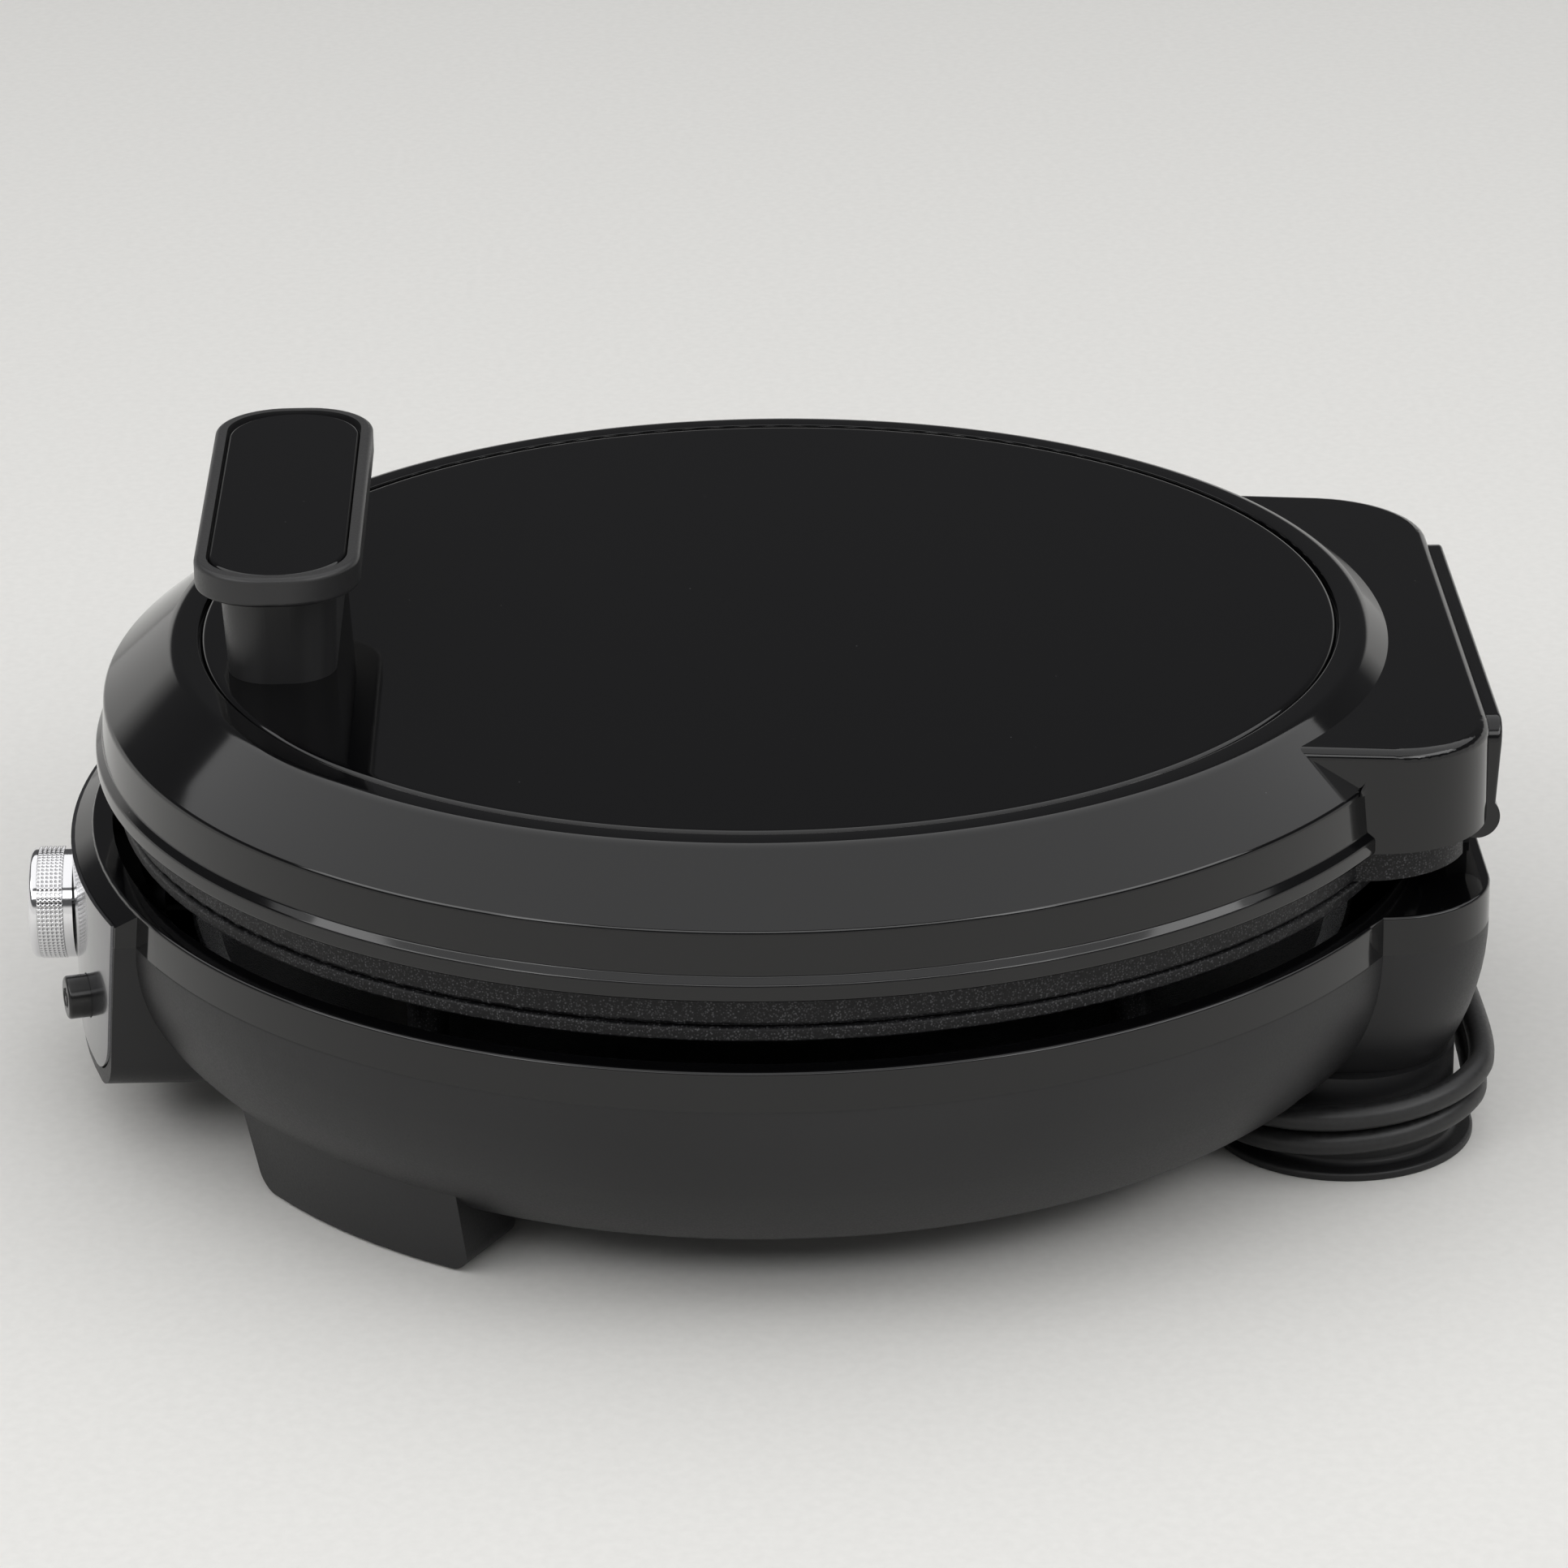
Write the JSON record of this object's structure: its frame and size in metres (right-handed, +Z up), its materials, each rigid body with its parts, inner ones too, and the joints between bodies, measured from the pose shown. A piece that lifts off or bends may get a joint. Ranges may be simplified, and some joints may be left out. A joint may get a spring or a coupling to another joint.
{
  "type": "electric pizza maker",
  "caption": "Countertop cooker with a round hinged lid, two heated plates, a thermostat knob, a power button and a wound lead.",
  "frame": {"origin": "under the middle of the appliance without its free lead, on the standing surface", "axes": "+Z up, -Y towards the knob and the user, +Y towards the hinge, +X towards the side with the button"},
  "size_m": [0.3957, 0.3649, 0.152],
  "materials": {
    "base_housing": "fine moulded texture",
    "leg_pads": "soft",
    "base_trim": "high gloss",
    "control_panel": "metallised gloss",
    "lower_plate": "speckled non-stick coat",
    "upper_plate": "speckled non-stick coat",
    "lower_heating_element": "heat-tinted",
    "upper_heating_element": "heat-tinted",
    "lower_reflector": "bright sheet",
    "upper_reflector": "bright sheet",
    "base_screws": "zinc plated",
    "upper_plate_screws": "zinc plated",
    "lid_shell": "high gloss",
    "lid_disc": "mirror gloss",
    "lid_hinge_leaf": "gloss",
    "base_hinge_leaf": "satin",
    "hinge_pin": "ground",
    "base_leaf_screws": "zinc plated",
    "lid_leaf_screws": "zinc plated",
    "handle_stem": "fine moulded texture",
    "handle_grip": "fine moulded texture",
    "handle_inlay": "high gloss",
    "handle_screws": "zinc plated",
    "thermostat_knob": "polished",
    "thermostat_shaft": "turned",
    "thermostat_body": "plated",
    "power_button": "gloss",
    "switch_body": "plain",
    "indicator_lenses": "translucent",
    "terminal_block": "plain",
    "rear_foot_right": "fine moulded texture",
    "rear_foot_left": "fine moulded texture",
    "rear_foot_screws": "zinc plated",
    "cord_gland": "plain",
    "strain_relief": "moulded",
    "cord_winding": "satin sheath",
    "cord_tail": "satin sheath",
    "power_plug": "moulded",
    "plug_pins": "bright"
  },
  "bodies": {
    "base": {"base_housing": "base_housing", "leg_pads": "leg_pads", "base_trim": "base_trim", "control_panel": "control_panel", "lower_plate": "lower_plate", "lower_heating_element": "lower_heating_element", "lower_reflector": "lower_reflector", "base_screws": "base_screws", "base_hinge_leaf": "base_hinge_leaf", "hinge_pin": "hinge_pin", "base_leaf_screws": "base_leaf_screws", "thermostat_body": "thermostat_body", "switch_body": "switch_body", "indicator_lenses": "indicator_lenses", "terminal_block": "terminal_block", "rear_foot_right": "rear_foot_right", "rear_foot_left": "rear_foot_left", "rear_foot_screws": "rear_foot_screws", "cord_gland": "cord_gland", "strain_relief": "strain_relief", "cord_winding": "cord_winding", "cord_tail": "cord_tail", "power_plug": "power_plug", "plug_pins": "plug_pins"},
    "lid": {"lid_shell": "lid_shell", "lid_disc": "lid_disc", "upper_plate": "upper_plate", "upper_heating_element": "upper_heating_element", "upper_reflector": "upper_reflector", "upper_plate_screws": "upper_plate_screws", "lid_hinge_leaf": "lid_hinge_leaf", "lid_leaf_screws": "lid_leaf_screws", "handle_stem": "handle_stem", "handle_grip": "handle_grip", "handle_inlay": "handle_inlay", "handle_screws": "handle_screws"},
    "knob": {"thermostat_knob": "thermostat_knob", "thermostat_shaft": "thermostat_shaft"},
    "button": {"power_button": "power_button"}
  },
  "joints": [
    {"name": "lid_hinge", "type": "hinge", "parent": "base", "child": "lid", "pos_m": [0, 0.176, 0.085], "axis": [-1, 0, 0], "range_deg": [0, 100]},
    {"name": "thermostat_knob_turn", "type": "hinge", "parent": "base", "child": "knob", "pos_m": [0, -0.1743, 0.0424], "axis": [0, 1, 0], "range_deg": [0, 270]},
    {"name": "power_button_press", "type": "slide", "parent": "base", "child": "button", "axis": [-0.2487, 0.9686, 0], "range_m": [0, 0.0025], "stiffness_N_per_m": 400, "springref_m": -0.003}
  ]
}
